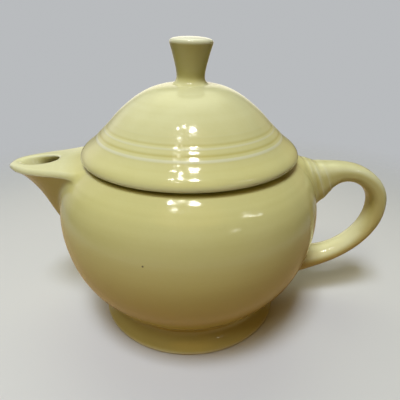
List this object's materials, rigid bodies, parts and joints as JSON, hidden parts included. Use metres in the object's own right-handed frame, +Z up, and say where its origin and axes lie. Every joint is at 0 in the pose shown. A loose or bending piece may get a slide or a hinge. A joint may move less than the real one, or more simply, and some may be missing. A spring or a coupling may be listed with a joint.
{
  "type": "teapot",
  "caption": "Small round covered teapot with a flared foot, flat-topped wedge spout, loop handle and a lift-off domed lid with a flared knob.",
  "frame": {"origin": "middle of the whole teapot's plan box at table level; the turning axis of pot and lid stands at x = -9.35 mm, because the handle reaches further out than the spout", "axes": "+Z up from the table, +X towards the handle, -X towards the spout, Y across"},
  "size_m": [0.216, 0.145, 0.1566],
  "materials": {
    "glaze_pot": "gloss",
    "glaze_foot": "gloss, bare clay on the resting edge",
    "glaze_lid": "gloss"
  },
  "bodies": {
    "pot": {"pot_body": "glaze_pot", "foot_ring": "glaze_foot", "spout": "glaze_pot", "handle": "glaze_pot"},
    "lid": {"lid_dome": "glaze_lid", "lid_flange": "glaze_lid", "lid_knob": "glaze_lid"}
  },
  "joints": [
    {"name": "lid_lift", "type": "slide", "parent": "pot", "child": "lid", "axis": [0, 0, 1], "range_m": [0, 0.08]}
  ]
}
